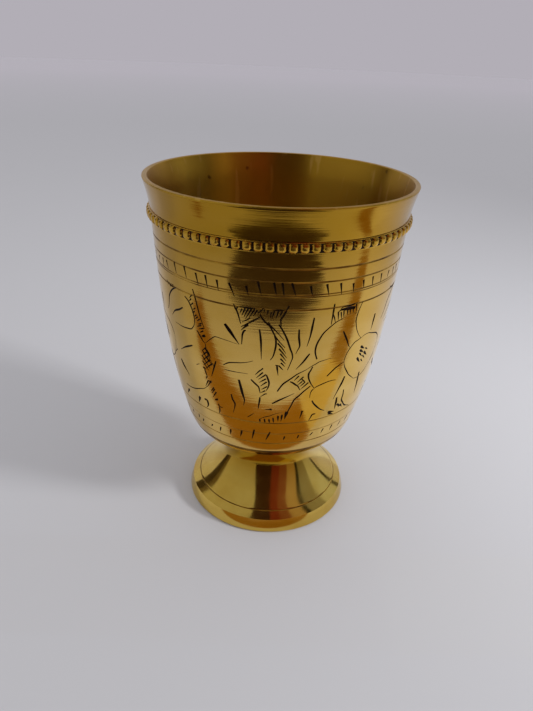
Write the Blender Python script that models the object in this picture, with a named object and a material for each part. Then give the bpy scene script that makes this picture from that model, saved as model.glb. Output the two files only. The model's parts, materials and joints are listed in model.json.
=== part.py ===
"""Brass tumbler: a turned bowl brazed on a hollow foot, with a beaded band soldered round its shoulder."""

import math

import bmesh
import bpy
from mathutils import Vector
from mathutils.geometry import interpolate_bezier

# Sizes are in metres. The floor is z = 0 and every piece is turned about the Z axis.
# A slope is the lean of an outline from upright, in degrees, and is positive where it widens upwards.

# Foot
FOOT_RADIUS = 0.0264
FOOT_HEIGHT = 0.0243
RIM_HEIGHT = 0.0044
RIM_INSET = 0.001
RIM_ROUND = 0.0008
RIM_SLOPE_LOW = -10.0
RIM_SLOPE_HIGH = -18.0
FLANK_SLOPE_LOW = -53.0
FLANK_SLOPE_HIGH = -3.0
WAIST_RADIUS = 0.0126
WAIST_HEIGHT = 0.0182
THROAT_SLOPE = 17.0
FOOT_WALL = 0.0025
RIM_LAND_HEIGHT = 0.0004
WEB_THICKNESS = 0.005

# Neck, where the bowl's spigot stands in the foot's socket
NECK_RADIUS = 0.0133
SPIGOT_RADIUS = 0.006
SPIGOT_LENGTH = 0.0045
BRAZE_THICKNESS = 0.0002
BRAZE_BULGE = 0.0002

# Bowl, from its seat up
SEAT_SLOPE = 82.0
HEEL_HEIGHT = 0.0057
HEEL_RADIUS = 0.0253
HEEL_SLOPE = 28.0
BELLY_HEIGHT = 0.0136
BELLY_RADIUS = 0.0279
BELLY_SLOPE = 15.6
WALL_HEIGHT = 0.0591
SHOULDER_RADIUS = 0.03584
SHOULDER_SLOPE = 4.8
LIP_HEIGHT = 0.0079
LIP_RADIUS = 0.0376
LIP_SLOPE = 15.0
LIP_EDGE = 0.0003
BOWL_WALL = 0.0014
FLOOR_THICKNESS = 0.0025

# Beaded band, in a seat turned into the wall just under the shoulder
BAND_DROP = 0.0002
BAND_WIDTH = 0.0027
BAND_INSET = 0.0003
BAND_THICKNESS = 0.00055
BEAD_COUNT = 84
BEAD_RISE = 0.0006
SOLDER_THICKNESS = 0.00015

# Gap that each soldered or brazed face keeps
FIT_CLEARANCE = 0.00005

# Facets
TURN_STEPS = 64
BEAD_STEPS = 4
BEAD_ROWS = 5
UNDER_POINTS = 6
LOWER_POINTS = 5
WALL_POINTS = 8
LIP_POINTS = 5
ROUND_POINTS = 4
RIM_POINTS = 4
FLANK_POINTS = 9
THROAT_POINTS = 4
SHARP_ANGLE = 35.0
MERGE_DISTANCE = 0.000001

# Places worked out from the sizes
SEAT_HEIGHT = FOOT_HEIGHT + BRAZE_THICKNESS + 2 * FIT_CLEARANCE
SHOULDER_HEIGHT = BELLY_HEIGHT + WALL_HEIGHT
BAND_TOP = SHOULDER_HEIGHT - BAND_DROP
BAND_BOTTOM = BAND_TOP - BAND_WIDTH


def clear_scene():
    for obj in list(bpy.data.objects):
        bpy.data.objects.remove(obj, do_unlink=True)


def metal(name, colour, roughness):
    material = bpy.data.materials.new(name)
    material.use_nodes = True
    shader = material.node_tree.nodes["Principled BSDF"]
    shader.inputs["Base Color"].default_value = (*colour, 1.0)
    shader.inputs["Metallic"].default_value = 1.0
    shader.inputs["Roughness"].default_value = roughness
    return material


def station(radius, height):
    return Vector((radius, 0.0, height))


def lean(slope):
    return Vector((math.sin(math.radians(slope)), 0.0, math.cos(math.radians(slope))))


def bow(start, start_slope, end, end_slope, count):
    """A smooth outline between two stations, leaving and arriving at the given slopes."""
    reach = (end - start).length / 3
    first_handle = start + lean(start_slope) * reach
    last_handle = end - lean(end_slope) * reach
    return interpolate_bezier(start, first_handle, last_handle, end, count)


def offset(outline, distance):
    """The outline moved square to itself by a wall's thickness, to its left as it climbs."""
    moved = []
    for index, point in enumerate(outline):
        before = outline[max(index - 1, 0)]
        after = outline[min(index + 1, len(outline) - 1)]
        along = (after - before).normalized()
        moved.append(point + Vector((-along.z, 0.0, along.x)) * distance)
    return moved


def at_height(outline, height):
    """The station at a height on a climbing outline, whose end stretches go on past their ends."""
    index = 1
    while index < len(outline) - 1 and outline[index].z < height:
        index += 1
    low = outline[index - 1]
    high = outline[index]
    return low.lerp(high, (height - low.z) / (high.z - low.z))


def between(outline, low, high):
    """The stretch of a climbing outline from one height to another."""
    inside = [point for point in outline if low + MERGE_DISTANCE < point.z < high - MERGE_DISTANCE]
    return [at_height(outline, low), *inside, at_height(outline, high)]


def turn(outline, closed, steps):
    """A bmesh of the outline spun once round the Z axis."""
    bm = bmesh.new()
    verts = [bm.verts.new(point) for point in outline]
    edges = [bm.edges.new(pair) for pair in zip(verts, verts[1:])]
    if closed:
        edges.append(bm.edges.new((verts[-1], verts[0])))
    bmesh.ops.spin(
        bm,
        geom=verts + edges,
        cent=(0.0, 0.0, 0.0),
        axis=(0.0, 0.0, 1.0),
        angle=math.tau,
        steps=steps,
        use_merge=True,
    )
    bmesh.ops.remove_doubles(bm, verts=bm.verts, dist=MERGE_DISTANCE)
    bmesh.ops.recalc_face_normals(bm, faces=bm.faces)
    return bm


def add_piece(name, bm, height, material, parent):
    mesh = bpy.data.meshes.new(name)
    bm.to_mesh(mesh)
    bm.free()
    mesh.materials.append(material)
    mesh.shade_smooth()
    mesh.set_sharp_from_angle(angle=math.radians(SHARP_ANGLE))
    piece = bpy.data.objects.new(name, mesh)
    piece.location.z = height
    piece.parent = parent
    bpy.context.scene.collection.objects.link(piece)
    return piece


def bowl_outside():
    """The bowl's outer outline from its seat to its lip, before the band's seat is turned into it."""
    seat = station(NECK_RADIUS, 0.0)
    heel = station(HEEL_RADIUS, HEEL_HEIGHT)
    belly = station(BELLY_RADIUS, BELLY_HEIGHT)
    shoulder = station(SHOULDER_RADIUS, SHOULDER_HEIGHT)
    lip = station(LIP_RADIUS, SHOULDER_HEIGHT + LIP_HEIGHT)
    under = bow(seat, SEAT_SLOPE, heel, HEEL_SLOPE, UNDER_POINTS)
    lower = bow(heel, HEEL_SLOPE, belly, BELLY_SLOPE, LOWER_POINTS)
    wall = bow(belly, BELLY_SLOPE, shoulder, SHOULDER_SLOPE, WALL_POINTS)
    flare = bow(shoulder, SHOULDER_SLOPE, lip, LIP_SLOPE, LIP_POINTS)
    return under + lower[1:] + wall[1:] + flare[1:]


def band_seat_radius():
    return at_height(bowl_outside(), BAND_BOTTOM).x - BAND_INSET


def make_bowl(parent):
    outside = bowl_outside()
    lip_top = outside[-1].z
    inside = between(offset(outside, BOWL_WALL), FLOOR_THICKNESS, lip_top)
    seat_low = BAND_BOTTOM - FIT_CLEARANCE
    seat_high = BAND_TOP + FIT_CLEARANCE
    below = between(outside, 0.0, seat_low)
    above = between(outside, seat_high, lip_top - LIP_EDGE)
    band_seat = [station(band_seat_radius(), seat_low), station(band_seat_radius(), seat_high)]
    lip_edge = station(LIP_RADIUS - LIP_EDGE, lip_top)
    spigot = [station(SPIGOT_RADIUS, 0.0), station(SPIGOT_RADIUS, -SPIGOT_LENGTH)]
    outline = [station(0.0, FLOOR_THICKNESS), *inside, lip_edge, *reversed(above)]
    outline += [*reversed(band_seat), *reversed(below), *spigot, station(0.0, -SPIGOT_LENGTH)]
    brass = metal("bowl_brass", (0.60, 0.42, 0.13), 0.18)
    return add_piece("bowl", turn(outline, False, TURN_STEPS), SEAT_HEIGHT, brass, parent)


def make_beaded_band(parent):
    inner = band_seat_radius() + SOLDER_THICKNESS + 2 * FIT_CLEARANCE
    outer = inner + BAND_THICKNESS
    middle = BAND_WIDTH / 2
    face = [station(outer, BAND_WIDTH * (1 - row / (BEAD_ROWS - 1))) for row in range(BEAD_ROWS)]
    section = [station(inner, BAND_WIDTH), *face, station(inner, 0.0)]
    bm = turn(section, True, BEAD_COUNT * BEAD_STEPS)
    for vert in bm.verts:
        radius = vert.co.xy.length
        if radius < outer - BAND_THICKNESS / 2:
            continue
        turns = math.atan2(vert.co.y, vert.co.x) / math.tau * BEAD_COUNT
        dome = 1 - abs(2 * (turns - math.floor(turns)) - 1) ** 4
        arch = 1 - ((vert.co.z - middle) / middle) ** 2
        vert.co.xy *= 1 + BEAD_RISE * dome * arch / radius
    brass = metal("band_brass", (0.52, 0.36, 0.11), 0.25)
    return add_piece("beaded_band", bm, SEAT_HEIGHT + BAND_BOTTOM, brass, parent)


def make_band_solder(parent):
    inner = band_seat_radius() + FIT_CLEARANCE
    outer = inner + SOLDER_THICKNESS
    section = [
        station(inner, BAND_WIDTH),
        station(outer, BAND_WIDTH),
        station(outer, 0.0),
        station(inner, 0.0),
    ]
    tin = metal("soft_solder", (0.55, 0.53, 0.50), 0.35)
    film = turn(section, True, TURN_STEPS)
    return add_piece("band_solder", film, SEAT_HEIGHT + BAND_BOTTOM, tin, parent)


def foot_rim():
    """The rim's outline, round under its edge and then up its face to the flank."""
    centre = station(FOOT_RADIUS - RIM_ROUND, RIM_ROUND)
    edge = []
    for index in range(ROUND_POINTS):
        angle = math.pi / 2 * (index / (ROUND_POINTS - 1) - 1)
        edge.append(centre + station(math.cos(angle), math.sin(angle)) * RIM_ROUND)
    top = station(FOOT_RADIUS - RIM_INSET, RIM_HEIGHT)
    face = bow(edge[-1], RIM_SLOPE_LOW, top, RIM_SLOPE_HIGH, RIM_POINTS)
    return edge + face[1:]


def make_foot(parent):
    rim = foot_rim()
    waist = station(WAIST_RADIUS, WAIST_HEIGHT)
    neck = station(NECK_RADIUS, FOOT_HEIGHT)
    flank = bow(rim[-1], FLANK_SLOPE_LOW, waist, FLANK_SLOPE_HIGH, FLANK_POINTS)
    throat = bow(waist, FLANK_SLOPE_HIGH, neck, THROAT_SLOPE, THROAT_POINTS)
    side = flank + throat[1:]
    web_under = FOOT_HEIGHT - WEB_THICKNESS
    under_side = offset(side, FOOT_WALL)
    hollow = between(under_side, max(under_side[0].z, RIM_LAND_HEIGHT), web_under)
    socket = SPIGOT_RADIUS + FIT_CLEARANCE
    outline = [station(socket, FOOT_HEIGHT), *reversed(side[1:]), *reversed(rim)]
    outline += [station(hollow[0].x, 0.0), *hollow, station(socket, web_under)]
    brass = metal("foot_brass", (0.62, 0.44, 0.14), 0.10)
    return add_piece("foot", turn(outline, True, TURN_STEPS), 0.0, brass, parent)


def make_neck_braze(parent):
    inner = SPIGOT_RADIUS + FIT_CLEARANCE
    middle = BRAZE_THICKNESS / 2
    section = [
        station(inner, BRAZE_THICKNESS),
        station(NECK_RADIUS, BRAZE_THICKNESS),
        station(NECK_RADIUS + BRAZE_BULGE, middle),
        station(NECK_RADIUS, 0.0),
        station(inner, 0.0),
    ]
    alloy = metal("braze_alloy", (0.66, 0.50, 0.22), 0.30)
    ring = turn(section, True, TURN_STEPS)
    return add_piece("neck_braze", ring, FOOT_HEIGHT + FIT_CLEARANCE, alloy, parent)


def main():
    clear_scene()
    tumbler = bpy.data.objects.new("tumbler", None)
    bpy.context.scene.collection.objects.link(tumbler)
    make_foot(tumbler)
    make_neck_braze(tumbler)
    make_bowl(tumbler)
    make_band_solder(tumbler)
    make_beaded_band(tumbler)


main()
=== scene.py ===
"""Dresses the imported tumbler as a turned, beaded and hand-engraved brass cup, on a plain pale stage.

Laid out as an add-on: the settings hold what a user would change, and each operator makes one piece.
Lengths are in metres, and drawings of the ornament are in degrees round the bowl and millimetres up it.
"""

import bisect
import json
import math

import bmesh
import bpy
from bpy.props import FloatProperty, FloatVectorProperty, IntProperty, PointerProperty
from mathutils import Matrix, Vector
from mathutils.geometry import interpolate_bezier

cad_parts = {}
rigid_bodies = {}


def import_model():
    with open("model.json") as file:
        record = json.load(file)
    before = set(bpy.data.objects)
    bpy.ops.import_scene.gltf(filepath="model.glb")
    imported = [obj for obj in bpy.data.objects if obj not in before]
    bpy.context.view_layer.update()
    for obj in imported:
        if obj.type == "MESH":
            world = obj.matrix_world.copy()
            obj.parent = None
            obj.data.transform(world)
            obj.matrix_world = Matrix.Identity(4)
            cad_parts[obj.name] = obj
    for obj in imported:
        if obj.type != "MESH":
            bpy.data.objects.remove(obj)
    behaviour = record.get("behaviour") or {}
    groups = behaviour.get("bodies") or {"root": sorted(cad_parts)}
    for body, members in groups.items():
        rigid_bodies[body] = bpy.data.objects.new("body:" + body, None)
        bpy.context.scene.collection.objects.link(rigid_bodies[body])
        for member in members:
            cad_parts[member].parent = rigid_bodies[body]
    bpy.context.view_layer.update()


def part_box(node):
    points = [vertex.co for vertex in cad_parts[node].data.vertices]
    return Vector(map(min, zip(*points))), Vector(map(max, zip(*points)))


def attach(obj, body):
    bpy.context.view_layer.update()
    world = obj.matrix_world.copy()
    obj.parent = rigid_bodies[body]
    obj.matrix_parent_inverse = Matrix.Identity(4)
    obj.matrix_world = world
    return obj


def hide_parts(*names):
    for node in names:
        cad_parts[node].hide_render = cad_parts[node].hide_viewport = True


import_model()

bl_info = {
    "name": "Brass tumbler",
    "version": (1, 0, 0),
    "blender": (4, 5, 0),
    "location": "View3D > Sidebar > Tumbler",
    "description": "Makes a turned and engraved brass tumbler over its packed frame",
    "category": "Object",
}

MM = 0.001
ORIGIN = (0.0, 0.0, 0.0)
UP = (0.0, 0.0, 1.0)

FOOT_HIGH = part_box("foot")[1]
BRAZE_LOW, BRAZE_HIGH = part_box("neck_braze")
BOWL_LOW, BOWL_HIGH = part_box("bowl")
BAND_LOW, BAND_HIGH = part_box("beaded_band")
SOLDER_LOW, SOLDER_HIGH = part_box("band_solder")

# Fits between the pieces
FIT_CLEARANCE = 0.05 * MM
SOLDER_FILM = 0.15 * MM
SEAT_HEIGHT = BRAZE_HIGH.z + FIT_CLEARANCE
NECK_RADIUS = 13.3 * MM
SPIGOT_RADIUS = 6.0 * MM
SOCKET_RADIUS = SPIGOT_RADIUS + FIT_CLEARANCE
BAND_SEAT_RADIUS = SOLDER_HIGH.x - SOLDER_FILM - FIT_CLEARANCE
INNER_LIP_ROUND = 0.25 * MM

# Finishes of the bowl in the order of its slots, and the slot of the second finish on the band and the foot
TURNED, PATINA, BORED, LINE, FRESH = range(5)
SECOND_FINISH = 1

# Depths at the middle of a groove's side, past which a turned line is brown and past which it is black
SHALLOW_LINE = 0.012 * MM
DEEP_LINE = 0.09 * MM

# How far off the smooth outline a point still counts as on it, the height that a normal is taken over,
# and the shortest edge that cutting may leave
ON_WALL = 0.012 * MM
NORMAL_STEP = 0.4 * MM
SLIVER = 0.0001 * MM

# Fineness of the turned meshes, and how much finer the outline is that cuts and normals follow
TURN_STEPS = 256
UNDER_POINTS = 20
LOWER_POINTS = 8
WALL_POINTS = 30
FLARE_POINTS = 12
FLANK_POINTS = 30
THROAT_POINTS = 8
RIM_POINTS = 9
LIP_POINTS = 5
EXACT = 10
SHARP_ANGLE = math.radians(34)
MERGE_DISTANCE = 0.001 * MM

# Fineness of a bead, how square its upper and lower halves are, and where the slot beside it starts
BEAD_STEPS = 12
BEAD_ROWS = 9
BEAD_TOP_SQUARE = 4.0
BEAD_FOOT_SQUARE = 2.6
BEAD_EDGE = 0.97

# Picture that the camera is set for, in pixels, its sensor in millimetres and the nearest that it sees
FOCAL_PIXELS = 600.0
IMAGE_HEIGHT = 711.0
SENSOR = 36.0
NEAREST_SEEN = 0.01

# The floor, and the distances between which its tone is painted lighter away from the cup, as painted light
FLOOR_RADIUS = 4.0
FLOOR_SIDES = 96
FADE_FROM = 1.0
FADE_TO = 2.8

# The light: where it hangs and points, its width, how wide its grid lets it shine, and its power
PANEL_PLACE = Vector((0.645, -0.21, 0.39))
PANEL_AIM = Vector((0.086, 0.068, 0.0))
PANEL_SIZE = 0.12
PANEL_SPREAD = math.radians(63)
PANEL_POWER = 0.46

# Cards that lie just over the floor: place of the middle to the right and away, width and depth, and tone
CARD_LIFT = 0.2 * MM
FLOOR_CARDS = (
    ("dark_card", (0.0, -0.349), (0.25, 0.422), "#48392B"),
    ("amber_card", (-0.0625, -0.0488), (0.195, 0.0346), "#9C7218"),
    ("gold_card", (0.0625, -0.0488), (0.055, 0.0346), "#CFBE80"),
    ("brown_card", (0.17, -0.0488), (0.16, 0.0346), "#97762D"),
    ("pale_card", (0.12, 0.11), (0.16, 0.268), "#D8DAE0"),
)

# Cards bent to a dome: the turns from the front and the elevations that each lies between, and the tone
DOME_RADIUS = 0.8
DOME_STEPS = 16
DOME_CARDS = (
    ("front_card", (-28.5, 12), (0, 76), "#4A2C18"),
    ("red_card", (12, 32), (0, 76), "#96402A"),
    ("russet_card", (32, 52), (0, 76), "#A4664C"),
    ("tan_card", (52, 74), (0, 70), "#D6B890"),
    ("right_edge_card", (74, 81), (0, 66), "#34342A"),
    ("right_card", (81, 102), (0, 62), "#B0ACA2"),
    ("far_right_card", (102, 124), (0, 62), "#E8ECEC"),
    ("far_edge_card", (124, 128), (0, 40), "#362B1C"),
    ("left_edge_card", (-121, -112), (0, 50), "#4A3C28"),
    ("left_card", (-112, -106), (0, 50), "#7A6848"),
    ("window_card", (-106, -28.5), (0, 72), "#E0DAC2"),
    ("back_card", (128, 237), (12, 62), "#E9E7EA"),
    ("ceiling_card", (0, 360), (77, 90), "#F4F2F2"),
)


def linear(code):
    """An sRGB hex colour as linear red, green and blue."""
    parts = [int(code[place:place + 2], 16) / 255 for place in (1, 3, 5)]
    return tuple(part / 12.92 if part <= 0.04045 else ((part + 0.055) / 1.055) ** 2.4 for part in parts)


def length(name, description, default):
    """A length that the sidebar shows in the scene's units."""
    return FloatProperty(
        name=name, description=description, default=default, min=0.0, precision=5, unit="LENGTH"
    )


def lean_angle(name, description, degrees):
    """A lean from upright, positive where an outline widens upwards."""
    return FloatProperty(
        name=name, description=description, default=math.radians(degrees), subtype="ANGLE"
    )


def colour(name, description, code):
    """A colour swatch whose default is an sRGB hex value."""
    return FloatVectorProperty(
        name=name, description=description, default=linear(code), size=3, min=0.0, max=1.0, subtype="COLOR"
    )


class TumblerBowlSettings(bpy.types.PropertyGroup):
    """Outline of the turned bowl."""

    seat_lean: lean_angle("Seat lean", "Lean of the outline where the bowl leaves its neck", 82.0)
    heel_height: length("Heel height", "Height above the seat where the underside turns up", 5.7 * MM)
    heel_radius: length("Heel radius", "Radius where the underside turns up", 25.3 * MM)
    heel_lean: lean_angle("Heel lean", "Lean of the outline at the heel", 28.0)
    belly_height: length("Belly height", "Height of the belly above the seat", 13.6 * MM)
    belly_radius: length("Belly radius", "Radius where the belly meets the wall", 27.9 * MM)
    belly_lean: lean_angle("Belly lean", "Lean of the outline at the belly", 15.6)
    shoulder_drop: length("Shoulder drop", "Height of the lip above the shoulder", 7.9 * MM)
    shoulder_radius: length("Shoulder radius", "Radius under the flare", 35.84 * MM)
    shoulder_lean: lean_angle("Shoulder lean", "Lean of the outline at the shoulder", 4.8)
    lip_radius: length("Lip radius", "Radius that the flare runs out to", 37.59 * MM)
    lip_lean: lean_angle("Lip lean", "Lean of the flare at the lip", 15.0)
    lip_edge: length("Lip edge", "Rounding of the lip's outer edge", 0.3 * MM)
    wall: length("Wall", "Thickness of the bowl's wall", 1.4 * MM)
    floor: length("Floor", "Thickness of the bowl's floor above its seat", 2.5 * MM)


class TumblerBandSettings(bpy.types.PropertyGroup):
    """Beaded band round the shoulder."""

    beads: IntProperty(name="Beads", description="Beads in one turn", default=84, min=3)
    first_bead: lean_angle("First bead", "Turn of the first bead from the front", 1.5)
    rise: length("Rise", "Height of a bead over the strip", 0.6 * MM)
    thickness: length("Strip", "Thickness of the strip under the beads", 0.55 * MM)
    margin: length("Margin", "Plain edge above and below the beads", 0.22 * MM)
    slot: length("Slot", "Width of the dark slot between beads", 0.5 * MM)
    edge: length("Edge", "Rounding of the strip's upper edge", 0.16 * MM)


class TumblerFootSettings(bpy.types.PropertyGroup):
    """Outline of the polished foot."""

    rim_height: length("Rim height", "Height of the rim's face", 4.4 * MM)
    rim_inset: length("Rim inset", "How far the top of the rim lies inside its edge", 1.0 * MM)
    rim_round: length("Rim round", "Rounding under the rim's edge", 0.8 * MM)
    rim_lean_low: lean_angle("Lower rim lean", "Lean of the rim's face at its edge", -10.0)
    rim_lean_high: lean_angle("Upper rim lean", "Lean of the rim's face at its top", -18.0)
    flank_lean_low: lean_angle("Lower flank lean", "Lean of the flank above the rim", -53.0)
    flank_lean_high: lean_angle("Upper flank lean", "Lean of the flank at the waist", -3.0)
    waist_radius: length("Waist radius", "Radius of the foot at its waist", 12.6 * MM)
    waist_height: length("Waist height", "Height of the waist over the floor", 18.2 * MM)
    throat_lean: lean_angle("Throat lean", "Lean of the outline where it meets the bowl", 17.0)
    wall: length("Wall", "Thickness of the foot's wall", 2.5 * MM)
    web: length("Web", "Thickness of the web round the socket", 5.0 * MM)
    land: length("Land", "Height of the land inside the rim", 0.4 * MM)
    line_height: length("Line height", "Height of the scribed line on the flank", 6.1 * MM)
    line_width: length("Line width", "Width of the scribed line, up the axis", 0.2 * MM)
    line_depth: length("Line depth", "Depth of the scribed line", 0.08 * MM)


class TumblerFinishSettings(bpy.types.PropertyGroup):
    """Colours of the metals and their patina."""

    brass: colour("Brass", "Freshly polished brass", "#E8C169")
    warm_brass: colour("Warm brass", "Brass that has begun to tarnish", "#D6AA42")
    # Brown-gold brass: handling on the beads, the bowl's tone towards the lip, and painted shade and painted
    # reflection on the foot's neck and rim
    handled_and_shaded_brass: colour("Handled and shaded brass", "Brown-gold brass: handling on the beads, the bowl's tone towards the lip, painted shade and reflection on the foot", "#AE831D")
    foot_brass: colour("Foot brass", "Brass of the foot, a little greener than the bowl's", "#EECD6A")
    # Inside brass: its duller tone is partly painted shade inside the cup
    shaded_inner_brass: colour("Inner brass", "Brass inside the cup, duller, its tone partly painted shade", "#CDA33A")
    stain: colour("Stain", "Brown stain on dull brass", "#6B4A1C")
    patina: colour("Patina", "Dark oxide left in engraved lines", "#24150A")
    solder: colour("Solder", "Soft solder", "#B9B6AE")
    braze: colour("Braze", "Brazing alloy", "#E8CF8E")


class TumblerStageSettings(bpy.types.PropertyGroup):
    """Camera, floor and light."""

    camera_distance: length("Camera distance", "Camera's distance in front of the axis", 168.23 * MM)
    camera_height: length("Camera height", "Camera's height over the floor", 137.24 * MM)
    camera_pitch: lean_angle("Camera pitch", "How far the camera looks down", 27.61)
    camera_yaw: lean_angle("Camera yaw", "How far the camera looks to the right", -0.628)
    camera_roll: lean_angle("Camera roll", "How far the camera is turned about its view", 2.48)
    floor: colour("Floor", "Plain pale floor", "#CCCCD0")
    # Painted light: the floor is painted lighter far from the cup
    painted_light_far_floor: colour("Far floor", "The floor's tone far from the cup, painted lighter as painted light", "#DAD6DE")
    sky: colour("Surround", "Light that comes from all round", "#D4D3D5")
    far: colour("Backdrop", "What the camera and the metal see past the floor", "#B2AEB6")


class TumblerSettings(bpy.types.PropertyGroup):
    """All settings of the tumbler."""

    bowl: PointerProperty(type=TumblerBowlSettings, name="Bowl", description="Outline of the turned bowl")
    band: PointerProperty(type=TumblerBandSettings, name="Band", description="Beaded band round the shoulder")
    foot: PointerProperty(type=TumblerFootSettings, name="Foot", description="Outline of the polished foot")
    finish: PointerProperty(type=TumblerFinishSettings, name="Finish", description="Colours of the metals")
    stage: PointerProperty(type=TumblerStageSettings, name="Stage", description="Camera, floor and light")


# Outlines

def station(radius, height):
    return Vector((radius, 0.0, height))


def lean(angle):
    return Vector((math.sin(angle), 0.0, math.cos(angle)))


def bow(start, start_lean, end, end_lean, count):
    """A smooth outline between two stations, leaving and arriving at the given leans."""
    reach = (end - start).length / 3
    first_handle = start + lean(start_lean) * reach
    last_handle = end - lean(end_lean) * reach
    return interpolate_bezier(start, first_handle, last_handle, end, count)


def arc(centre, across, up, start, end, count):
    """Stations on part of an ellipse, between two angles in degrees from the outward direction."""
    stations = []
    for index in range(count):
        angle = math.radians(start + (end - start) * index / (count - 1))
        stations.append(centre + station(across * math.cos(angle), up * math.sin(angle)))
    return stations


def at_height(outline, height):
    """The point of a climbing outline at a height."""
    index = bisect.bisect_left(outline, height, 1, len(outline) - 1, key=lambda point: point.z)
    low = outline[index - 1]
    high = outline[index]
    return low.lerp(high, (height - low.z) / (high.z - low.z))


def between(outline, low, high):
    """The stretch of a climbing outline from one height to another."""
    inside = [point for point in outline if low + MERGE_DISTANCE < point.z < high - MERGE_DISTANCE]
    return [at_height(outline, low), *inside, at_height(outline, high)]


def outward(before, after):
    """The outward direction, square to a stretch of a climbing outline."""
    along = (after - before).normalized()
    return Vector((along.z, 0.0, -along.x))


def offset(outline, distance):
    """The outline moved inwards, square to itself, by a wall's thickness."""
    moved = []
    for index, point in enumerate(outline):
        before = outline[max(index - 1, 0)]
        after = outline[min(index + 1, len(outline) - 1)]
        moved.append(point - outward(before, after) * distance)
    return moved


def normal_at(outline, height):
    """The smooth outward direction of an outline at a height."""
    return outward(at_height(outline, height - NORMAL_STEP), at_height(outline, height + NORMAL_STEP))


def scribe(outline, lines):
    """The outline with a V cut into it at each line, given as height, width and depth."""
    for height, width, depth in lines:
        low = at_height(outline, height - width / 2)
        high = at_height(outline, height + width / 2)
        foot = at_height(outline, height) - normal_at(outline, height) * depth
        below = [point for point in outline if point.z < low.z - MERGE_DISTANCE]
        above = [point for point in outline if point.z > high.z + MERGE_DISTANCE]
        outline = [*below, low, foot, high, *above]
    return outline


# Meshes

def turned(outline, closed, steps):
    """A bmesh of the outline spun once round the Z axis."""
    bm = bmesh.new()
    verts = [bm.verts.new(point) for point in outline]
    edges = [bm.edges.new(pair) for pair in zip(verts, verts[1:])]
    if closed:
        edges.append(bm.edges.new((verts[-1], verts[0])))
    section = verts + edges
    bmesh.ops.spin(bm, geom=section, cent=ORIGIN, axis=UP, angle=math.tau, steps=steps, use_merge=True)
    bmesh.ops.remove_doubles(bm, verts=bm.verts, dist=MERGE_DISTANCE)
    bmesh.ops.recalc_face_normals(bm, faces=bm.faces)
    return bm


def new_object(name, bm, materials, collection=None):
    mesh = bpy.data.meshes.new(name)
    bm.to_mesh(mesh)
    bm.free()
    for material in materials:
        mesh.materials.append(material)
    piece = bpy.data.objects.new(name, mesh)
    (collection or bpy.context.scene.collection).objects.link(piece)
    return piece


def smooth(mesh):
    mesh.shade_smooth()
    mesh.set_sharp_from_angle(angle=SHARP_ANGLE)


def dress(piece, node):
    """The piece rides on the part and stands for a node of it, which it hides."""
    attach(piece, "root")
    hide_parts(node)


# Drawing of the engraving. Each stroke is a graver and the points that it passes, in degrees round the bowl
# from the front and millimetres above the floor.

# Widths of each graver's cut in millimetres, at its start, its body and its end
GRAVERS = {
    "hair": (0.16, 0.32, 0.10),
    "fine": (0.26, 0.42, 0.14),
    "line": (0.40, 0.56, 0.22),
    "hatch": (0.46, 0.46, 0.14),
    "dash": (0.42, 0.62, 0.12),
    "broad": (0.62, 0.88, 0.14),
    "wide": (0.80, 1.10, 0.16),
    "tick": (0.68, 0.50, 0.16),
    "bright": (0.30, 0.48, 0.30),
}

# Share of a cut where its body is, depth of a cut to its width, and depth that no cut passes
GRAVER_PEAK = 0.35
GRAVER_SLOPE = 0.42
DEEPEST_CUT = 0.30 * MM

# How far the cutter stands over the metal, the longest step of a stroke, and how often the drawing repeats
CUTTER_RISE = 0.15 * MM
STROKE_STEP = 1.1 * MM
REPEATS = 3

# Turned lines: height, width and depth in millimetres
TURNED_LINES = (
    (30.3, 0.30, 0.09),
    (34.9, 0.34, 0.10),
    (39.0, 0.24, 0.05),
    (43.3, 0.32, 0.10),
    (79.7, 0.48, 0.14),
    (83.15, 0.28, 0.07),
    (83.75, 0.36, 0.10),
    (87.0, 0.44, 0.13),
    (90.4, 0.52, 0.15),
)


def straight(graver, *cuts):
    """Straight strokes of one graver, each given by the angle and height of its start and of its end."""
    return tuple((graver, cut[:2], cut[2:]) for cut in cuts)


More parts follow.
